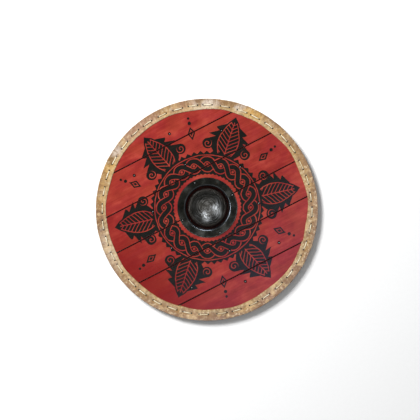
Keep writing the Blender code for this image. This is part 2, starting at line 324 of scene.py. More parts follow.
# leaves with barbed edges that point outwards, a scroll on each side of a leaf's foot
LEAVES = 6
LEAF_TURN = math.radians(45)
LEAF_START = 0.189
LEAF_LENGTH = 0.152
LEAF_FOOT = 0.03
LEAF_BULGE = 0.235
LEAF_POINT = 1.35
LEAF_BARB = 0.019
BARB_LEAN = 0.6
BARB_DEPTH = 0.42
CORE_SHARE = 0.56
CORE_LENGTH = 0.86
VEIN_PITCH = 0.015
VEIN_LEAN = 0.8
SCROLL_OUT = 0.221
SCROLL_ASIDE = 0.07
SCROLL_RADIUS = 0.019
SCROLL_RIM = 0.004
SCROLL_PITCH = 0.0115

# and a lozenge and dots in each gap between two leaves. A dot's numbers are how far out and how big it is.
LOZENGE_RADIUS = 0.272
LOZENGE_LENGTH = 0.024
LOZENGE_WIDTH = 0.014
LOZENGE_LINE = 0.0066
DOTS = ((0.309, 0.0062), (0.327, 0.0045))


def ornament(graph, x, y):
    """Where the black paint lies, as a share from 0 to 1."""

    def within(value, limit):
        return graph.math("MULTIPLY_ADD", limit - value, 1 / PAINT_EDGE, 0.5, clamp=True)

    def line(distance):
        return within(abs(distance), LINE_HALF)

    wave = graph.noise(x * SWAY_RATE, y * SWAY_RATE, 3.0, detail=1.0)
    other_wave = graph.noise(x * SWAY_RATE, y * SWAY_RATE, 9.0, detail=1.0)
    across = x - BOSS_X + (wave - 0.5) * SWAY
    along = y - BOSS_Y + (other_wave - 0.5) * SWAY
    radius = graph.length(across, along)
    turn = graph.math("ARCTAN2", along, across)

    phase = turn * PLAIT_WAVES
    lean = phase.cosine()
    swing = phase.sine() * PLAIT_SWING
    offset = radius - PLAIT_RADIUS
    steepness = PLAIT_SWING * PLAIT_WAVES / PLAIT_RADIUS
    narrowing = (lean * lean * steepness**2 + 1) ** -0.5
    first = abs(offset - swing) * narrowing
    second = abs(offset + swing) * narrowing
    difference = (first - second) * graph.math("GREATER_THAN", lean, 0.0)
    above = second + difference
    below = first - difference
    covered = within(above, STRAND_HALF)
    red = graph.most(line(above - STRAND_HALF), line(below - STRAND_HALF) * (1 - covered))
    eye = within(graph.length(offset, lean * (PLAIT_RADIUS / PLAIT_WAVES)), BEAD_RADIUS)
    red = graph.most(red, eye, line(radius - BAND_EDGE + BAND_BORDER))
    tooth = graph.math("PINGPONG", turn * (TEETH / math.pi / 2), 0.5)
    band = within(radius, BAND_EDGE + tooth * (2 * TOOTH_HEIGHT)) * (1 - red)
    band = band * within(BAND_INSIDE - tooth * (2 * INNER_TOOTH_HEIGHT), radius)

    sector = 2 * math.pi / LEAVES
    from_leaf = abs(((turn - LEAF_TURN) / sector + 0.5).fract() - 0.5) * sector
    out = radius * from_leaf.cosine()
    aside = radius * from_leaf.sine()
    share = graph.math("MULTIPLY_ADD", out, 1 / LEAF_LENGTH, -LEAF_START / LEAF_LENGTH, clamp=True)
    rest = 1 - share
    half = rest * LEAF_FOOT + share * (rest**LEAF_POINT) * LEAF_BULGE
    barb = ((out + aside * BARB_LEAN) / LEAF_BARB).fract()
    barbed = share.ease(0.1, 0.4) * BARB_DEPTH
    leaf = within(aside, half * ((barb - 0.5) * barbed + 1)) * (1 - within(radius, BAND_EDGE))
    leaf = leaf * within(out, LEAF_START + LEAF_LENGTH)
    core = half * CORE_SHARE
    vein = (((out - aside * VEIN_LEAN) / VEIN_PITCH).fract() - 0.5) * VEIN_PITCH
    vein = line(vein) * within(aside, core)
    drawing = graph.most(line(aside - core), vein, line(aside))
    drawing = drawing * within(out, LEAF_START + CORE_LENGTH * LEAF_LENGTH)
    leaf = leaf * (1 - drawing)

    scroll_out = out - SCROLL_OUT
    scroll_aside = aside - SCROLL_ASIDE
    scroll = graph.length(scroll_out, scroll_aside)
    scroll_turn = graph.math("ARCTAN2", scroll_aside, scroll_out)
    groove = (scroll / SCROLL_PITCH - scroll_turn / (2 * math.pi)).fract() - 0.5
    groove = line(groove * SCROLL_PITCH) * within(scroll, SCROLL_RADIUS - SCROLL_RIM)
    scrolls = within(scroll, SCROLL_RADIUS) * (1 - groove)

    from_gap = sector / 2 - from_leaf
    gap_out = radius * from_gap.cosine()
    gap_aside = radius * from_gap.sine()
    lozenge = abs(gap_out - LOZENGE_RADIUS) * (LOZENGE_WIDTH / LOZENGE_LENGTH) + gap_aside
    marks = within(lozenge, LOZENGE_WIDTH) * (1 - line(lozenge - LOZENGE_LINE))
    for place, size in DOTS:
        marks = graph.most(marks, within(graph.length(gap_out - place, gap_aside), size))

    return graph.most(band, leaf * (1 - groove), scrolls, marks)


def wood_grain(graph, along, across, depth, shift):
    """Fibres and year rings that run along one direction, each from 0 to 1."""
    fibres = graph.noise(along * 9 + shift, across * 300, depth * 300)
    bend = graph.noise(along * 1.7 + shift, across * 8, depth * 8, detail=1.0)
    rings = ((across / 0.0085 + bend * 9 + shift) * (2 * math.pi)).sine() * 0.5 + 0.5
    return fibres, rings


def painted_wood():
    """Paint on the front of the planks, with a painted bluish sheen towards the lower right, and bare wood
    on their sides and back.
    """
    graph = Graph("painted_wood")
    x, y, z = graph.place()
    right, up = across_picture(x, y)
    tone = graph.attribute("tone")
    edge = graph.attribute("edge")
    shift = tone * 7
    fibres, rings = wood_grain(graph, x, y, z, shift)
    streaks = graph.noise(x * 3.5 + shift, y * 80, 1.0, detail=4.0, roughness=0.6)
    clouds = graph.noise(x * 13 + shift, y * 22, 5.0, detail=4.0, roughness=0.6)
    lips = edge + (clouds - 0.5) * 0.001

    warmth = graph.noise(x * 11 + shift, y * 17, 11.0)
    red = graph.ramp(
        streaks * 0.35 + clouds * 0.65,
        (0.38, (0.197, 0.0122, 0.0106)),
        (0.5, (0.289, 0.025, 0.0188)),
        (0.62, (0.394, 0.0505, 0.035)),
    )
    red = red.coats(
        (warmth.ease(0.48, 0.66) * 0.45, (0.295, 0.04, 0.019)),
        (warmth.ease(0.52, 0.36) * 0.55, (0.24, 0.013, 0.02)),
        (tone * 0.25, (0.29, 0.036, 0.019)),
        ((right * -0.57 - up * 0.82).ease(0.15, 0.36) * 0.8, (0.178, 0.005, 0.004)),
        (fibres.ease(0.52, 0.74) * 0.32, (0.12, 0.009, 0.008)),
    )
    black = graph.ramp(streaks, (0.35, (0.0051, 0.0052, 0.004)), (0.7, (0.0093, 0.0088, 0.007)))
    worn = graph.noise(x * 12 + shift, y * 210, 2.0).ease(0.68, 0.8)
    mask = ornament(graph, x, y) * (1 - worn * 0.3) * lips.ease(0.0011, 0.0019)
    paint = red.coats(
        (mask, black),
        # painted sheen: a faint bluish reflection laid over the paint towards the lower right of the picture
        ((right - up).ease(0.05, 0.55) * 0.06, (0.23, 0.19, 0.34)),
        (lips.ease(0.0032, 0.0014) * 0.7, (0.06, 0.008, 0.0075)),
        (edge.ease(0.0019, 0.001), (0.008, 0.003, 0.0028)),
    )

    stain = graph.noise(x * 6, y * 6, 8.0, detail=4.0).ease(0.45, 0.7)
    bare = graph.ramp(
        rings,
        (0.0, (0.33, 0.19, 0.09)),
        (0.75, (0.42, 0.26, 0.13)),
        (1.0, (0.25, 0.13, 0.055)),
    )
    bare = bare.coats(
        (fibres.ease(0.45, 0.75) * 0.45, (0.2, 0.105, 0.045)),
        (stain * 0.35, (0.15, 0.085, 0.045)),
        (tone * 0.35, (0.3, 0.16, 0.075)),
        (edge.ease(0.0022, 0.0006) * 0.75, (0.06, 0.032, 0.016)),
    )

    front = z.ease(BOARD_FRONT - 0.0036, BOARD_FRONT - 0.0022)
    relief = fibres * 0.5 + rings * 0.35 + streaks * 0.5 + mask * 0.25
    return graph.finish(
        Base_Color=graph.mix(front, bare, paint),
        Roughness=(streaks - 0.5) * 0.25 + (1 - front) * 0.22 + 0.46 - mask * 0.04,
        Specular_IOR_Level=0.11,
        Normal=graph.bump(relief, 0.0005, 0.55),
    )


def pine():
    """The bars' wood, dark and smooth where a hand holds the grip."""
    graph = Graph("pine")
    x, y, z = graph.place()
    tone = graph.attribute("tone")
    fibres, rings = wood_grain(graph, y, x, z, tone * 7)
    handled = abs(y - BOSS_Y).ease(0.085, 0.02) * abs(x - BOSS_X).ease(0.05, 0.02)
    grime = graph.noise(x * 14, y * 5, z * 14, detail=4.0).ease(0.4, 0.65)
    tint = graph.ramp(
        rings,
        (0.0, (0.32, 0.18, 0.08)),
        (0.7, (0.4, 0.24, 0.115)),
        (1.0, (0.22, 0.11, 0.045)),
    )
    tint = tint.coats(
        (fibres.ease(0.45, 0.75) * 0.5, (0.17, 0.085, 0.036)),
        (grime * 0.35 + handled * 0.3, (0.11, 0.06, 0.03)),
    )
    return graph.finish(
        Base_Color=tint,
        Roughness=0.62 - handled * 0.18 - (fibres - 0.5) * 0.2,
        Normal=graph.bump(fibres * 0.6 + rings * 0.4, 0.0006, 0.6),
    )


WHITISH = (0.72, 0.64, 0.56)
GOLDEN = (0.61, 0.355, 0.075)
BROWN = (0.21, 0.115, 0.045)
DARK_BROWN = (0.09, 0.05, 0.012)
ROSY = (0.44, 0.245, 0.17)
TAN = (0.385, 0.215, 0.058)

# Stains of the hide: how far right and up of the middle, reach, strength and colour
STAINS = (
    (-0.01, 0.385, 0.065, 0.75, WHITISH),
    (-0.03, 0.396, 0.028, 0.9, BROWN),
    (0.08, 0.38, 0.034, 0.7, BROWN),
    (0.125, 0.37, 0.03, 0.7, WHITISH),
    (0.165, 0.345, 0.048, 0.8, GOLDEN),
    (-0.347, 0.146, 0.044, 0.95, GOLDEN),
    (-0.348, 0.178, 0.024, 0.95, DARK_BROWN),
    (-0.325, 0.212, 0.03, 0.85, WHITISH),
    (-0.245, 0.306, 0.11, 0.9, ROSY),
    (0.332, -0.2, 0.03, 0.75, DARK_BROWN),
    (0.29, -0.258, 0.032, 0.75, DARK_BROWN),
    (0.24, -0.31, 0.07, 0.7, ROSY),
    (0.318, -0.228, 0.06, 0.45, ROSY),
    (0.15, -0.362, 0.04, 0.5, GOLDEN),
    (0.384, -0.08, 0.03, 0.45, BROWN),
    (0.372, -0.13, 0.04, 0.55, GOLDEN),
    (-0.225, -0.322, 0.04, 0.65, BROWN),
    (-0.06, -0.386, 0.045, 0.65, ROSY),
    (0.356, 0.144, 0.16, 0.7, TAN),
    (-0.154, -0.352, 0.19, 0.7, TAN),
    (-0.355, 0.095, 0.13, 0.6, TAN),
    (-0.365, -0.15, 0.11, 0.3, WHITISH),
    (-0.272, 0.272, 0.17, 0.24, BROWN),
    (-0.272, -0.272, 0.17, 0.24, BROWN),
)


def rawhide():
    """Patchy, streaked and stained hide, with painted shade in the slits that the lace goes through, beside
    the stitches, along the cut edges, over the outer fold and towards the lower right.
    """
    graph = Graph("rawhide")
    x, y, z = graph.place()
    right, up = across_picture(x, y)
    slit_and_shade = graph.attribute("slit_and_shade")
    lip = graph.attribute("lip")
    radius = graph.length(x, y)
    round_x = x / radius
    round_y = y / radius
    patches = graph.noise(x * 7, y * 7, z * 7, roughness=0.55)
    mottle = graph.noise(x * 42, y * 42, z * 42, detail=5.0, roughness=0.62)
    streaks = graph.noise(round_x * 52, round_y * 52, radius * 9, detail=4.0, roughness=0.6)
    fine = graph.noise(round_x * 190, round_y * 190, radius * 34)
    amber = graph.noise(x * 9, y * 9, 4.0, detail=2.0).ease(0.54, 0.64)
    rosy = graph.noise(x * 12, y * 12, 14.0).ease(0.5, 0.62)
    tint = graph.ramp(
        patches * 0.36 + mottle * 0.36 + streaks * 0.28,
        (0.42, (0.145, 0.068, 0.026)),
        (0.46, (0.275, 0.145, 0.056)),
        (0.5, (0.39, 0.232, 0.094)),
        (0.54, (0.485, 0.32, 0.148)),
        (0.59, (0.61, 0.47, 0.32)),
    )
    tint = tint.coats((amber * 0.5, (0.48, 0.28, 0.08)), (rosy * 0.5, (0.37, 0.19, 0.115)))
    for stain_right, stain_up, reach, share, stain in STAINS:
        away = graph.length(right - stain_right, up - stain_up) + (mottle - 0.5) * 0.06
        tint = graph.mix(away.ease(reach, reach * 0.35) * share, tint, stain)

    blotches = graph.noise(x * 95, y * 95, z * 95, roughness=0.65)
    coarse = graph.noise(x * 30, y * 30, z * 30, detail=2.0)
    cream = (radius + (mottle - 0.5) * 0.02).ease(0.377, 0.367)
    brown = streaks.ease(0.52, 0.66) * radius.ease(0.368, 0.384)
    # painted shade: darker over the outer fold of the hide, with a streaky edge
    outer_fold_shade = (radius + (streaks - 0.5) * 0.012).ease(0.386, 0.4)
    # low: how far towards the lower right of the picture, which sets a rosy outer band, painted shade and
    # stronger blotches there
    low = (right * 0.8 - up).ease(-0.15, 0.4)
    tint = tint.coats(
        (cream * 0.45, (0.6, 0.45, 0.22)),
        (brown * 0.65, (0.18, 0.09, 0.042)),
        (outer_fold_shade * 0.55, (0.18, 0.095, 0.045)),
        (low * radius.ease(0.38, 0.392) * 0.35, (0.33, 0.18, 0.13)),
        # painted shade: a brown coat all round, thicker towards the lower right
        (low * 0.24 + 0.08, (0.25, 0.135, 0.05)),
        (blotches.ease(0.5, 0.66) * (low * 0.28 + 0.6), (0.205, 0.106, 0.046)),
        (blotches.ease(0.48, 0.34) * (low * 0.38 + 0.4), (0.69, 0.55, 0.35)),
        (coarse.ease(0.54, 0.66) * (low * 0.35 + 0.32), (0.23, 0.115, 0.045)),
        (coarse.ease(0.46, 0.36) * (low * 0.25 + 0.28), (0.66, 0.455, 0.22)),
        (fine.ease(0.5, 0.7) * 0.25, (0.15, 0.08, 0.04)),
        # painted shade: a dark line along the hide's cut edges, at the mouth and at each strip's raised end
        (lip.ease(0.0016, 0.0) * 0.35, (0.16, 0.08, 0.035)),
        # painted shade in the slits that the lace goes through, and painted shadow beside each stitch
        (slit_and_shade, (0.012, 0.01, 0.007)),
    )
    relief = mottle * 0.5 + streaks * 0.8 + fine * 0.35
    return graph.finish(
        Base_Color=tint,
        Roughness=0.4 + (mottle - 0.5) * 0.35 + slit_and_shade * 0.3,
        Coat_Weight=0.15,
        Coat_Roughness=0.3,
        Normal=graph.bump(relief, 0.0009, 0.6),
    )


def rawhide_lace():
    """Pale lace, darker where it was handled."""
    graph = Graph("rawhide_lace")
    x, y, z = graph.place()
    mottle = graph.noise(x * 60, y * 60, z * 60, detail=4.0)
    fibres = graph.noise(x * 420, y * 420, z * 420, detail=2.0)
    tint = graph.ramp(
        mottle,
        (0.35, (0.62, 0.49, 0.29)),
        (0.5, (0.79, 0.69, 0.47)),
        (0.65, (0.86, 0.8, 0.63)),
    )
    handled = graph.noise(x * 14, y * 14, 3.0, detail=2.0).ease(0.5, 0.62)
    tint = tint.coats(
        (fibres.ease(0.55, 0.75) * 0.2, (0.45, 0.32, 0.16)),
        (handled * 0.55, (0.42, 0.29, 0.15)),
    )
    return graph.finish(
        Base_Color=tint,
        Roughness=0.45 + (mottle - 0.5) * 0.3,
        Normal=graph.bump(fibres * 0.5 + mottle, 0.0004, 0.5),
    )


def boss_iron():
    """Dark iron, brushed bright in rings on the crown and along the fillet."""
    graph = Graph("boss_iron")
    x, y, z = graph.place()
    across = x - BOSS_X
    along = y - BOSS_Y
    radius = graph.length(across, along)
    patina = graph.noise(x * 26, y * 26, z * 26, detail=5.0, roughness=0.6)
    spots = graph.noise(x * 110, y * 110, z * 110)
    drift = radius + (graph.noise(x * 34, y * 34, 6.0, detail=1.0) - 0.5) * 0.014
    round_x = across / radius
    round_y = along / radius
    arcs = graph.noise(drift * 900, round_x * 3, round_y * 3, detail=2.0)
    sweeps = graph.noise(drift * 260, round_x * 1.3, round_y * 1.3, roughness=0.6)
    dark = graph.ramp(
        patina,
        (0.36, (0.011, 0.0112, 0.0095)),
        (0.5, (0.0235, 0.0238, 0.0198)),
        (0.64, (0.068, 0.068, 0.059)),
    )
    bright = graph.ramp(
        arcs * 0.3 + sweeps * 0.7,
        (0.37, (0.044, 0.041, 0.036)),
        (0.5, (0.128, 0.121, 0.107)),
        (0.63, (0.36, 0.35, 0.335)),
    )
    crown = (radius + (patina - 0.5) * 0.024).ease(0.073, 0.055)
    foot = radius.ease(0.059, 0.07) * radius.ease(0.08, 0.0775)
    fillet = radius.ease(0.0775, 0.0795) * radius.ease(0.0842, 0.0825)
    rim = radius.ease(FLANGE_RADIUS - 0.003, FLANGE_RADIUS - 0.001)
    rust = spots.ease(0.6, 0.75) * (1 - crown)
    tint = dark.coats(
        (crown * 0.9, bright),
        (foot * 0.8, (0.0058, 0.0085, 0.0086)),
        (fillet * 0.8, (0.23, 0.24, 0.258)),
        (rim * 0.3, (0.2, 0.205, 0.185)),
        (rust * 0.25, (0.09, 0.045, 0.022)),
    )
    relief = (arcs * 0.25 + sweeps * 0.9) * crown + spots * 0.5 + patina * 0.6
    return graph.finish(
        Base_Color=tint,
        Metallic=1.0,
        Roughness=0.34 + (patina - 0.5) * 0.3 - fillet * 0.18 - crown * 0.04,
        Normal=graph.bump(relief, 0.0006, 0.5),
    )


def nail_iron():
    """Black iron, worn bright in spots on top of the heads."""
    graph = Graph("nail_iron")
    x, y, z = graph.place()
    patina = graph.noise(x * 160, y * 160, z * 160, detail=4.0)
    tint = graph.ramp(
        patina,
        (0.35, (0.005, 0.005, 0.005)),
        (0.55, (0.011, 0.0107, 0.01)),
        (0.7, (0.036, 0.034, 0.03)),
    )
    worn = graph.attribute("worn") * patina.ease(0.22, 0.42)
    tint = graph.mix(worn * 0.8, tint, (0.42, 0.415, 0.39))
    return graph.finish(
        Base_Color=tint,
        Metallic=1.0,
        Roughness=0.42 + (patina - 0.5) * 0.4 - worn * 0.15,
        Normal=graph.bump(patina, 0.0006, 0.7),
    )


def floor_paper():
    graph = Graph("floor_paper")
    x, y, _ = graph.place()
    grain = graph.noise(x * 90, y * 90)
    tint = graph.ramp(grain, (0.3, (0.955, 0.955, 0.955)), (0.7, (0.97, 0.97, 0.97)))
    return graph.finish(Base_Color=tint, Roughness=0.95, Specular_IOR_Level=0.0)


# Pieces


def add_object(name, data):
    obj = bpy.data.objects.new(name, data)
    bpy.context.scene.collection.objects.link(obj)
    return obj


def make_piece(name, points, faces, finish, smooth_below=50):
    """A mesh object with its faces pointing out and its gentle edges shaded smooth."""
    bm = bmesh.new()
    corners = [bm.verts.new(point) for point in points]
    for face in faces:
        bm.faces.new([corners[i] for i in face])
    bmesh.ops.recalc_face_normals(bm, faces=bm.faces)
    mesh = bpy.data.meshes.new(name)
    bm.to_mesh(mesh)
    bm.free()
    mesh.shade_smooth()
    mesh.set_sharp_from_angle(angle=math.radians(smooth_below))
    mesh.materials.append(finish)
    return add_object(name, mesh)


def set_attribute(obj, name, values):
    """Gives each of a piece's points a number for the material to read."""
    data = obj.data.attributes.new(name, "FLOAT", "POINT")
    data.data.foreach_set("value", values)


def stand_in(obj, slot, *nodes):
    """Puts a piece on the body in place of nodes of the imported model."""
    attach(obj, BODY)
    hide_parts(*nodes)


def grid_faces(rows, columns, wrap_rows=False, wrap_columns=False):
    """Quads between neighbours of a grid whose points are listed row by row."""
    faces = []
    for i in range(rows if wrap_rows else rows - 1):
        for j in range(columns if wrap_columns else columns - 1):
            a, b = i * columns, (i + 1) % rows * columns
            k = (j + 1) % columns
            faces.append((a + j, a + k, b + k, b + j))
    return faces


def end_faces(rows, columns):
    """The faces over the first and the last row of a grid that is closed all round."""
    last = (rows - 1) * columns
    return [tuple(range(columns)), tuple(range(last, last + columns))]


def fan_faces(middle, ring):
    """Triangles from a middle point to each two neighbours on a ring."""
    return [(middle, ring[k], ring[(k + 1) % len(ring)]) for k in range(len(ring))]


def circle(steps):
    """The cosine and sine of even steps all the way round."""
    turns = [2 * math.pi * k / steps for k in range(steps)]
    return [(math.cos(turn), math.sin(turn)) for turn in turns]


def squared_off(value, power):
    """A sine or cosine to a power below 1 with its sign kept, which turns a circle into a rounded box."""
    return math.copysign(abs(value) ** power, value)


def plank_relief(x, y, number):
    """How far the face of a plank lies under the highest it can, as hand planing leaves it."""
    hollow = 0.00018 * (1 + ripple(x * 6, y * 18, number))
    track = 0.0001 * (1 + ripple(x * 9, y * 140, number + 20))
    return hollow + track


def make_plank(number, finish):
    """A plank with rounded edges where it meets its neighbours, cut to the board's circle at its ends."""
    name = f"plank_{number}"
    low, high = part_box(name)
    low_seam = number < PLANK_COUNT
    high_seam = number > 1
    rounding = arc(EDGE_ROUND, EDGE_ROUND, -EDGE_ROUND, -EDGE_ROUND, 0, 60, 2)
    bottom = low.y if low_seam else END_ROW_INSET - BOARD_RADIUS
    top = high.y if high_seam else BOARD_RADIUS - END_ROW_INSET
    levels = [(bottom + inset, drop) for inset, drop in rounding]
    levels += [(y, 0.0) for y in spread(bottom + EDGE_ROUND, top - EDGE_ROUND, PLANK_ROW)]
    levels += [(top - inset, drop) for inset, drop in reversed(rounding)]
    columns = round(2 * BOARD_RADIUS / PLANK_COLUMN) + 1
    points = []
    for y, drop in levels:
        reach = math.sqrt(BOARD_RADIUS**2 - y**2)
        across = [reach * (2 * j / (columns - 1) - 1) for j in range(columns)]
        front = [(x, y, BOARD_FRONT - drop - plank_relief(x, y, number)) for x in across]
        back = [(x, y, BOARD_BACK + drop * 0.7 + plank_relief(x, y, number + 7)) for x in across]
        points += front + back[::-1]
    size = len(levels), 2 * columns
    faces = grid_faces(*size, wrap_columns=True) + end_faces(*size)
    plank = make_piece(name + "_painted", points, faces, finish, PLANK_CREASE_DEG)
    if low.y < BOSS_Y + HAND_HOLE_RADIUS and high.y > BOSS_Y - HAND_HOLE_RADIUS:
        cut_hand_hole(plank)
    edges = []
    for vert in plank.data.vertices:
        y = vert.co.y
        to_low = y - low.y if low_seam else 1.0
        to_high = high.y - y if high_seam else 1.0
        edges.append(max(0.0, min(to_low, to_high)))
    set_attribute(plank, "edge", edges)
    tone = random.Random(number * 31).random() * 0.6 + (0.4 if number < 3 else 0.0)
    set_attribute(plank, "tone", [tone] * len(edges))
    stand_in(plank, "painted_wood", name)


def cut_hand_hole(plank):
    """Takes a round hole behind the boss out of a plank."""
    bm = bmesh.new()
    bmesh.ops.create_cone(
        bm, cap_ends=True, segments=96, radius1=HAND_HOLE_RADIUS, radius2=HAND_HOLE_RADIUS, depth=0.05
    )
    bmesh.ops.translate(bm, verts=bm.verts, vec=(BOSS_X, BOSS_Y, BOARD_FRONT))
    mesh = bpy.data.meshes.new("hand_hole_saw")
    bm.to_mesh(mesh)
    bm.free()
    saw = add_object("hand_hole_saw", mesh)
    modifier = plank.modifiers.new("hand hole", "BOOLEAN")
    modifier.object = saw
    graph = bpy.context.evaluated_depsgraph_get()
    cut = bpy.data.meshes.new_from_object(plank.evaluated_get(graph))
    plank.modifiers.clear()
    plank.data = cut
    cut.shade_smooth()
    cut.set_sharp_from_angle(angle=math.radians(PLANK_CREASE_DEG))
    bpy.data.objects.remove(saw, do_unlink=True)


def plan_stitches():
    """Each stitch's first and last angle and its radius, as uneven as sewing by hand."""
    dice = random.Random(8)
    stitches = []
    for k in range(STITCH_COUNT):
        middle = math.radians(FIRST_STITCH_DEG) + k * STITCH_PITCH + math.radians(dice.uniform(-0.9, 0.9))
        half = STITCH_PITCH * STITCH_SHARE / 2 * dice.uniform(0.92, 1.08)
        radius = STITCH_RADIUS + dice.uniform(-0.0012, 0.0012)
        stitches.append((middle - half, middle + half, radius))
    return stitches


def turn_between(first, second):
    """The angle from the first direction to the second, between -180 and 180 degrees, in radians."""
    return (second - first + math.pi) % (2 * math.pi) - math.pi


def hide_columns(start, end, holes):
    """Angles along a strip of hide, closer together at the lace's holes."""
    angles = spread(start, end, HIDE_COLUMN / SHIELD_RADIUS)
    inner = []
    for hole in holes:
        middle = start + turn_between(start, hole) % (2 * math.pi)
        for aside in HOLE_COLUMNS:
            angle = middle + aside / STITCH_RADIUS
            if start < angle < end:
                inner.append(angle)
    kept = [start]
    for angle in sorted(angles + inner):
        if angle - kept[-1] > LEAST_COLUMN / STITCH_RADIUS:
            kept.append(angle)
    kept[-1] = end
    return kept


class Lacing:
    """Where the stitches and their holes are."""

    def __init__(self, stitches):
        self.stitches = stitches
        beyond = HOLE_BEYOND / STITCH_RADIUS
        self.holes = []
        for first, last, radius in stitches:
            self.holes += [(first - beyond, radius), (last + beyond, radius)]

    def near(self, angle):
        """How far past each hole close by this angle is, and the hole's radius on the board."""
        past = [(turn_between(hole, angle), radius) for hole, radius in self.holes]
        return [(turn * STITCH_RADIUS, radius) for turn, radius in past if abs(turn) < PULL_REACH]

    def covered(self, angle):
        """The radius of the stitch over this angle on the front, or None."""
        for first, last, radius in self.stitches:
            if 0 < turn_between(first, angle) < last - first:
                return radius
        return None


def hide_section(angle, seed, lacing):
    """The hide's section at one angle, as rows of radius, height, slit and lip, from the front mouth on."""
    around = angle * SHIELD_RADIUS
    near = lacing.near(angle)
    under = lacing.covered(angle)
    front_mouth = MOUTH_RADIUS + 0.0052 * ripple(around / 0.11, seed)
    front_mouth += 0.0007 * ripple(around / 0.02, seed + 3)
    back_mouth = MOUTH_RADIUS + 0.006 * ripple(around / 0.09, seed + 9)
    back_mouth += 0.0009 * ripple(around / 0.018, seed)
    edge_wave = 0.0006 * (ripple(around / 0.04, seed + 31) - 0.6)
    edge_wave += 0.00012 * (ripple(around / 0.012, seed + 37) - 0.6)
    inside_front = BOARD_FRONT + 0.0001
    inside_back = BOARD_BACK - 0.0001

    def shape(radius, front):
        """How far the surface stands out or in, and how open a lace hole is, which also sets the painted
        shade in it and the painted shadow beside a stitch.
        """
        bulge = 0.0005 * ripple(around / 0.045, radius / 0.03, seed + 11)
        crease = 0.00032 * ripple(around / 0.0065, radius / 0.07, seed + 17)
        crease += 0.00016 * ripple(around / 0.0028, radius / 0.05, seed + 23)
        pull = 0.0
        slit_and_shade = 0.0
        for aside, hole_radius in near:
            off = radius - hole_radius
            pull = max(pull, math.exp(-((aside / 0.0062) ** 2) - (off / 0.0075) ** 2))
            slit_and_shade = max(slit_and_shade, 1 - ease(HOLE_RADIUS - 0.0006, HOLE_RADIUS + 0.0004, math.hypot(aside, off)))
        pressed = 0.0
        if under and front:
            pressed = math.exp(-(((radius - under) / 0.0036) ** 2))
            # painted shadow beside the stitch, darker on its inner side, also sunk as a shallow groove
            shadow_beside = 0.55 if radius < under else 0.25
            slit_and_shade = max(slit_and_shade, shadow_beside * math.exp(-(((abs(radius - under) - 0.0023) / 0.0008) ** 2)))
        out = max(bulge + crease - 0.0007 * pull - 0.0004 * pressed, -DENT_LIMIT)
        return max(out - SLIT_DEPTH * slit_and_shade, -SLIT_LIMIT), slit_and_shade

    rows = [
        (front_mouth + 0.0005, inside_front, 0.0, 0.0),
        (front_mouth, inside_front + 0.0006, 0.0, 0.0),
        (front_mouth + 0.0006, inside_front + 0.0013, 0.0, 0.0004),
    ]
    begin = front_mouth + 0.0022
    for share in (0.0, 0.35, 0.7):
        radius = begin + (FRONT_RADII[0] - begin) * share
        out, slit_and_shade = shape(radius, True)
        soft = ease(-0.001, 0.004, radius - front_mouth)
        height = inside_front + 0.0014 + (HIDE_FRONT - inside_front - 0.0014) * soft + out
        rows.append((radius, height, slit_and_shade, radius - front_mouth))
    for radius in FRONT_RADII + OUTER_RADII:
        out, slit_and_shade = shape(radius, True)
        rows.append((radius, HIDE_FRONT + out, slit_and_shade, 1.0))
    for i in range(FOLD_STEPS + 1):
        lean = math.pi / 2 - math.pi * i / FOLD_STEPS
        radius = SHIELD_RADIUS - FOLD_DEPTH + FOLD_DEPTH * math.cos(lean) ** 0.6
        height = (HIDE_FRONT - HIDE_BACK) / 2 * squared_off(math.sin(lean), 0.6)
        out, _ = shape(radius, i * 2 < FOLD_STEPS)
        radius += math.cos(lean) * (edge_wave + out * 0.15)
        rows.append((radius, HIDE_MIDDLE + height + math.sin(lean) * out * 0.8, 0.0, 1.0))
    for radius in BACK_RADII:
        out, slit_and_shade = shape(radius, False)
        rows.append((radius, HIDE_BACK - out, slit_and_shade, 1.0))
    rows += [
        (back_mouth + 0.003, HIDE_BACK + 0.0001, 0.0, 0.003),
        (back_mouth + 0.0006, inside_back - 0.0013, 0.0, 0.0004),
        (back_mouth, inside_back - 0.0006, 0.0, 0.0),
        (back_mouth + 0.0005, inside_back, 0.0, 0.0),
    ]
    outer_count = len(rows)
    rows += [(radius, inside_back, 0.0, 1.0) for radius in INSIDE_RADII]
    rows += [(radius, inside_front, 0.0, 1.0) for radius in reversed(INSIDE_RADII)]
    return rows, outer_count


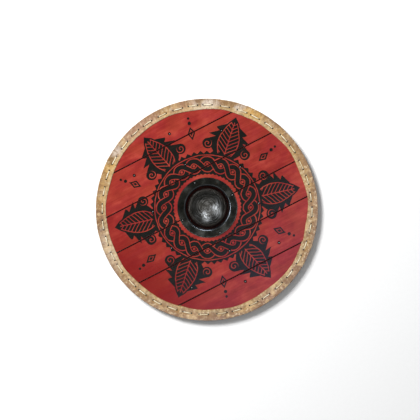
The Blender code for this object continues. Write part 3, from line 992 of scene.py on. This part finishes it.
def make_hide(lacing, finish):
    """Four strips folded over the board's edge, each lapping over the start of the next."""
    ends = [math.radians(degrees) for degrees in HIDE_ENDS_DEG]
    overlap = HIDE_OVERLAP / SHIELD_RADIUS
    holes = [angle for angle, _ in lacing.holes]
    for number, end_angle in enumerate(ends):
        start = end_angle - overlap
        following = ends[(number + 1) % len(ends)]
        end = start + overlap + turn_between(end_angle, following) % (2 * math.pi)
        points = []
        slit_and_shade_values = []
        lips = []
        columns = hide_columns(start, end, holes)
        for angle in columns:
            rows, outer_count = hide_section(angle, number * 5.3, lacing)
            from_start = (angle - start) * SHIELD_RADIUS
            to_end = (end - angle) * SHIELD_RADIUS
            thinned = HIDE_SKIVE * (1 - ease(0.004, 0.022, from_start))
            raised = 1 - ease(0.008, 0.024, to_end)
            for index, (radius, height, slit_and_shade, lip) in enumerate(rows):
                outside = index < outer_count
                out = HIDE_LIFT * raised * (0.7 if outside else 1.0) - (thinned if outside else 0.0)
                side = (height - HIDE_MIDDLE) / (HIDE_FRONT - HIDE_MIDDLE)
                side = max(-1.0, min(1.0, side * 1.2))
                rim = ease(SHIELD_RADIUS - 0.006, SHIELD_RADIUS, radius)
                where = angle + 0.0022 * ripple(radius / 0.008, number) * raised / radius
                radius += out * rim
                height += out * side * (1 - 0.5 * rim)
                points.append((radius * math.cos(where), radius * math.sin(where), height))
                slit_and_shade_values.append(slit_and_shade)
                lips.append(min(lip, to_end + 0.0008) if raised > 0 else lip)
        width = len(rows)
        faces = grid_faces(len(columns), width, wrap_columns=True) + end_faces(len(columns), width)
        strip = make_piece(f"rawhide_{number + 1}", points, faces, finish, 60)
        set_attribute(strip, "slit_and_shade", slit_and_shade_values)
        set_attribute(strip, "lip", lips)
        stand_in(strip, "rawhide", f"rawhide_edge_{number + 1}")


def lace_path(stitches):
    """The lace's middle as angle, radius, height, twist and width, over and under all the way round."""
    dice = random.Random(21)
    above = HIDE_FRONT + LACE_THICKNESS / 2 + 0.0001
    below = HIDE_BACK - LACE_THICKNESS / 2 - 0.0001
    middle = (above + below) / 2
    path = []
    for k, (first, last, radius) in enumerate(stitches):
        next_first, _, next_radius = stitches[(k + 1) % len(stitches)]
        span = last - first
        gap = turn_between(last, next_first)
        twist = dice.uniform(-0.22, 0.22)
        bow = dice.uniform(-0.0007, 0.0007)
        width = LACE_WIDTH * dice.uniform(0.9, 1.1)
        corner = LACE_CORNER / radius
        path += [
            (first, radius, middle, 0.0, width * 0.8),
            (first, radius, above - 0.0018, 0.0, width * 0.85),
            (first + corner * 0.25, radius, above - 0.0006, twist * 0.3, width * 0.9),
            (first + corner, radius, above - 0.0001, twist * 0.6, width),
        ]
        for share in (i / 8 for i in range(1, 8)):
            angle = first + corner + (span - 2 * corner) * share
            arch = math.sin(math.pi * share)
            height = above + 0.00045 * arch + 0.00012 * ripple(angle * 90, radius)
            path.append((angle, radius + bow * arch, height, twist * math.cos(math.pi * share), width))
        path += [
            (last - corner, radius, above - 0.0001, -twist * 0.6, width),
            (last - corner * 0.25, radius, above - 0.0006, -twist * 0.3, width * 0.9),
            (last, radius, above - 0.0018, 0.0, width * 0.85),
            (last, radius, middle, 0.0, width * 0.8),
            (last, radius, below + 0.0018, 0.0, width * 0.85),
            (last + corner * 0.25, radius, below + 0.0006, 0.0, width * 0.9),
            (last + corner, radius, below, 0.0, width),
        ]
        for share in (i / 6 for i in range(1, 6)):
            angle = last + corner + (gap - 2 * corner) * share
            arch = math.sin(math.pi * share)
            on_way = radius + (next_radius - radius) * share
            path.append((angle, on_way, below - 0.0003 * arch, 0.1 * arch, width))
        path += [
            (last + gap - corner, next_radius, below, 0.0, width),
            (last + gap - corner * 0.25, next_radius, below + 0.0006, 0.0, width * 0.9),
            (last + gap, next_radius, below + 0.0018, 0.0, width * 0.85),
        ]
    return path


def make_lace(lacing, finish):
    """One flat thong that goes in and out all round, softly bent and a little twisted."""
    path = lace_path(lacing.stitches)
    centres = [Vector((r * math.cos(a), r * math.sin(a), z)) for a, r, z, _, _ in path]
    points = []
    for i, (angle, _, _, twist, width) in enumerate(path):
        tangent = (centres[(i + 1) % len(centres)] - centres[i - 1]).normalized()
        outward = Vector((math.cos(angle), math.sin(angle), 0))
        outward = (outward - tangent * outward.dot(tangent)).normalized()
        upward = tangent.cross(outward)
        wide = outward * math.cos(twist) + upward * math.sin(twist)
        thick = upward * math.cos(twist) - outward * math.sin(twist)
        for cosine, sine in circle(LACE_SIDES):
            side = squared_off(cosine, 0.55) * width / 2
            face = squared_off(sine, 0.75) * LACE_THICKNESS / 2
            points.append(centres[i] + wide * side + thick * face)
    faces = grid_faces(len(path), LACE_SIDES, wrap_rows=True, wrap_columns=True)
    lace = make_piece("lace", points, faces, finish, 80)
    stand_in(lace, "lace", "edge_lacing")


def arc(centre_r, centre_z, radius_r, radius_z, start, end, steps):
    """Points on an ellipse from one angle in degrees to another, both ends included."""
    angles = [math.radians(start + (end - start) * i / steps) for i in range(steps + 1)]
    return [(centre_r + radius_r * math.cos(a), centre_z + radius_z * math.sin(a)) for a in angles]


def make_boss(finish):
    """The dome and its flange, turned from one profile and dented by the hammer outside."""
    fillet_middle = DOME_RADIUS + FILLET_RADIUS
    inner_fillet = FILLET_RADIUS + BOSS_WALL
    outside = arc(0, DOME_BASE, DOME_RADIUS, DOME_RISE, 88, 0, 30)
    outside += [(DOME_RADIUS, DOME_BASE - drop) for drop in (0.0035, 0.0075)]
    outside += arc(fillet_middle, inner_fillet, FILLET_RADIUS, FILLET_RADIUS, 180, 270, 9)
    outside += [(r, BOSS_WALL) for r in spread(fillet_middle, FLANGE_RADIUS - 0.0008, 0.0025)[1:]]
    outside += [(FLANGE_RADIUS - 0.0002, BOSS_WALL - 0.0003), (FLANGE_RADIUS, BOSS_WALL / 2)]
    inside = [(FLANGE_RADIUS - 0.0003, -0.0002)]
    inside += arc(fillet_middle, inner_fillet, inner_fillet, inner_fillet, 270, 180, 5)
    inside += arc(0, DOME_BASE, DOME_RADIUS - BOSS_WALL, DOME_RISE - BOSS_WALL, 0, 87, 16)
    profile = outside + inside
    points = []
    for cosine, sine in circle(BOSS_STEPS):
        for index, (radius, height) in enumerate(profile):
            x = radius * cosine
            y = radius * sine
            out = 0.0
            if index < len(outside):
                flange = ease(DOME_RADIUS, fillet_middle, radius)
                dents = noise.voronoi(Vector((x, y, height)) / 0.013)[0][0]
                out = (0.00016 + 0.00022 * flange) * (min(dents, 0.8) - 0.55)
                out += 0.00022 * ripple(x * 40, y * 40, height * 40)
            edge = ease(FLANGE_RADIUS - 0.004, FLANGE_RADIUS, radius)
            spill = 0.0007 * edge * ripple(cosine * 3, sine * 3, 4.0) - 0.0004 * edge
            grow = 1 + (out * (1 - ease(0.08, 0.088, radius)) + spill) / max(radius, 0.02)
            points.append((BOSS_X + x * grow, BOSS_Y + y * grow, BOSS_BASE + height + out))
    width = len(profile)
    faces = grid_faces(BOSS_STEPS, width, wrap_rows=True)
    for end, height in ((0, DOME_BASE + DOME_RISE), (width - 1, DOME_BASE + DOME_RISE - BOSS_WALL)):
        faces += fan_faces(len(points), range(end, BOSS_STEPS * width, width))
        points.append((BOSS_X, BOSS_Y, BOSS_BASE + height))
    boss = make_piece("domed_boss", points, faces, finish, 50)
    stand_in(boss, "iron", "boss")


def make_nail(node, finish):
    """A nail with a hammered head. One that ends just behind the board has a second, smaller head there."""
    low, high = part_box(node)
    x = (low.x + high.x) / 2
    y = (low.y + high.y) / 2
    head = (high.x - low.x) / 2
    base = high.z - HEAD_HEIGHT
    seed = x * 91 + y * 37
    rings = [(head * share, high.z - drop) for share, drop in HEAD_RINGS]
    rings += [(head * 0.97, base), (SHANK_RADIUS, base)]
    if low.z > BOARD_BACK - 0.005:
        rings += [(SHANK_RADIUS, BOARD_BACK - 0.0001), (PEEN_RADIUS, BOARD_BACK - 0.0001)]
        rings += [(PEEN_RADIUS * 0.95, BOARD_BACK - 0.0008), (PEEN_RADIUS * 0.5, low.z + 0.0002)]
    else:
        rings += [(SHANK_RADIUS, low.z + 0.004), (SHANK_RADIUS * 0.5, low.z + 0.001)]
    points = []
    for index, (radius, height) in enumerate(rings):
        for cosine, sine in circle(NAIL_SIDES):
            uneven = 1.0
            if 2 < index < 6:
                uneven += 0.11 * ripple(cosine * 1.3 + seed, sine * 1.3, 2.0) - 0.02
            dent = 0.0
            if index < 4:
                dent = 0.0004 * min(0.0, ripple(cosine * radius * 420 + seed, sine * radius * 420, seed))
            points.append((x + radius * uneven * cosine, y + radius * uneven * sine, height + dent))
    faces = grid_faces(len(rings), NAIL_SIDES, wrap_columns=True)
    faces += fan_faces(len(points), range(NAIL_SIDES))
    faces += fan_faces(len(points) + 1, range(len(points) - NAIL_SIDES, len(points)))
    worn = [0.5] * NAIL_SIDES + [0.0] * (len(points) - NAIL_SIDES) + [1.0, 0.0]
    points += [(x, y, high.z), (x, y, low.z)]
    nail = make_piece(node + "_forged", points, faces, finish, 35)
    set_attribute(nail, "worn", worn)
    stand_in(nail, "nail_iron", node)


def swell(start, end, share):
    """From start to end along a smooth S, as share goes from 0 to 1."""
    share = min(max(share, 0.0), 1.0)
    return start + (end - start) * (1 - math.cos(math.pi * share)) / 2


def grip_half_width(along, reach):
    """Slim at the hand, full where the bar has passed the hand hole, and slim again at the tips."""
    shoulder = HAND_HOLE_RADIUS + 0.02
    if along < shoulder:
        return swell(0.016, 0.022, along / shoulder)
    return swell(0.022, 0.014, (along - shoulder) / (reach - shoulder))


def batten_half_width(along, reach):
    """A little slimmer at the tips than in the middle."""
    return swell(0.02, 0.017, along / reach)


def make_bar(node, half_width, finish):
    """A carved bar under the board, with rounded edges and an underside that rises at the tips."""
    low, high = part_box(node)
    x = (low.x + high.x) / 2
    y = (low.y + high.y) / 2
    reach = (high.y - low.y) / 2
    seed = x * 53
    stations = [(inset - reach, scale) for inset, scale in TIP_SECTIONS]
    stations += [(along, 1.0) for along in spread(BAR_FULL - reach, reach - BAR_FULL, BAR_STATION)]
    stations += [(reach - inset, scale) for inset, scale in reversed(TIP_SECTIONS)]
    points = []
    for along, scale in stations:
        underside = swell(0.0, TIP_RISE, (abs(along) - reach + TIP_TAPER) / TIP_TAPER)
        half = half_width(abs(along), reach) * scale
        middle = (BAR_THICKNESS + underside) / 2
        thick = (BAR_THICKNESS - underside) / 2
        hand = 1 - ease(0.045, 0.075, abs(along)) if node == "grip_bar" else 0.0
        for cosine, sine in circle(BAR_SIDES):
            roundness = (0.22 if sine > 0 else 0.34) + 0.3 * hand
            side = squared_off(cosine, roundness)
            face = squared_off(sine, roundness + 0.06)
            knife = 0.00035 * (ripple(side * 3 + seed, along * 34, face * 2) - 0.5)
            knife += 0.0002 * ripple(side * 6, along * 120, face * 4 + seed)
            height = face * thick * scale
            if sine <= 0:
                height -= knife * min(1.0, -sine * 2)
            points.append((x + side * half * (1 + knife / 0.02), y + along, max(middle + height, 0.0)))
    faces = grid_faces(len(stations), BAR_SIDES, wrap_columns=True) + end_faces(len(stations), BAR_SIDES)
    bar = make_piece(node + "_carved", points, faces, finish, 50)
    set_attribute(bar, "tone", [abs(seed) % 1.0] * len(bar.data.vertices))
    stand_in(bar, "pine", node)


def make_shield():
    """All pieces of the shield, each with its material."""
    wood = painted_wood()
    for number in range(1, PLANK_COUNT + 1):
        make_plank(number, wood)
    lacing = Lacing(plan_stitches())
    make_hide(lacing, rawhide())
    make_lace(lacing, rawhide_lace())
    make_boss(boss_iron())
    iron = nail_iron()
    for kind, count in (("grip_bar", 4), ("batten", 8), ("boss", 4)):
        for number in range(1, count + 1):
            make_nail(f"{kind}_nail_{number}", iron)
    bar_wood = pine()
    make_bar("grip_bar", grip_half_width, bar_wood)
    for node in ("batten_left", "batten_right"):
        make_bar(node, batten_half_width, bar_wood)


# The stage: a plain floor, soft lights and the camera


def make_floor():
    mesh = bpy.data.meshes.new("floor")
    corners = ((-1, -1), (1, -1), (1, 1), (-1, 1))
    points = [(x * FLOOR_HALF, y * FLOOR_HALF, -FLOOR_GAP) for x, y in corners]
    mesh.from_pydata(points, [], [(0, 1, 2, 3)])
    mesh.materials.append(floor_paper())
    floor = add_object("floor", mesh)


def make_light(name, side, lean, distance, size, watts, tint=(1, 1, 1), in_gloss=True, in_diffuse=True):
    """A square soft light on one side of the picture, so many degrees from straight above."""
    right, up = side
    light = bpy.data.lights.new(name, "AREA")
    light.shape = "SQUARE"
    light.size = size
    light.energy = watts
    light.color = tint
    aside = (VIEW_RIGHT * right + VIEW_UP * up).normalized()
    angle = math.radians(lean)
    place = (aside * math.sin(angle) + Vector((0, 0, math.cos(angle)))) * distance
    obj = add_object(name, light)
    obj.location = place
    obj.rotation_euler = place.to_track_quat("Z", "Y").to_euler()
    obj.visible_glossy = in_gloss
    obj.visible_diffuse = in_diffuse


def make_studio():
    """A dim sky, a key light, a wide light overhead and four small ones that show only in gloss."""
    world = bpy.data.worlds.new("studio")
    world.use_nodes = True
    background = world.node_tree.nodes["Background"]
    background.inputs["Color"].default_value = (0.93, 0.975, 1.0, 1.0)
    background.inputs["Strength"].default_value = 0.12
    bpy.context.scene.world = world
    make_light("key", (-1, 1), lean=42, distance=4.4, size=1.42, watts=270, in_gloss=False)
    make_light("overhead", (0, 1), lean=0, distance=4.4, size=5.5, watts=48)
    softbox = {"distance": 2.6, "size": 0.6, "watts": 13.5, "tint": (0.79, 0.87, 1.0), "in_diffuse": False}
    make_light("softbox_low", (-0.25, -1), lean=29, **softbox)
    make_light("softbox_right", (1, -0.02), lean=32, **softbox)
    window = {"distance": 2.6, "size": 1.0, "watts": 8.5, "tint": (0.8, 0.88, 1.0), "in_diffuse": False}
    make_light("window_low", (-0.05, -1), lean=50, **window)
    make_light("window_right", (0.92, -0.39), lean=50, **window)


def make_camera():
    """Looks straight down on the board, turned so that the planks rise to the right."""
    data = bpy.data.cameras.new("camera")
    data.sensor_width = SENSOR_MM
    data.lens = SENSOR_MM * CAMERA_HEIGHT / SEEN_WIDTH
    camera = add_object("camera", data)
    aim = VIEW_RIGHT * AIM_RIGHT + VIEW_UP * AIM_UP
    camera.location = (aim.x, aim.y, BOARD_FRONT + CAMERA_HEIGHT)
    camera.rotation_euler = (0, 0, -PLANK_TILT)
    bpy.context.scene.camera = camera


bpy.context.scene.view_settings.view_transform = "Standard"
make_camera()
make_studio()
make_floor()
make_shield()
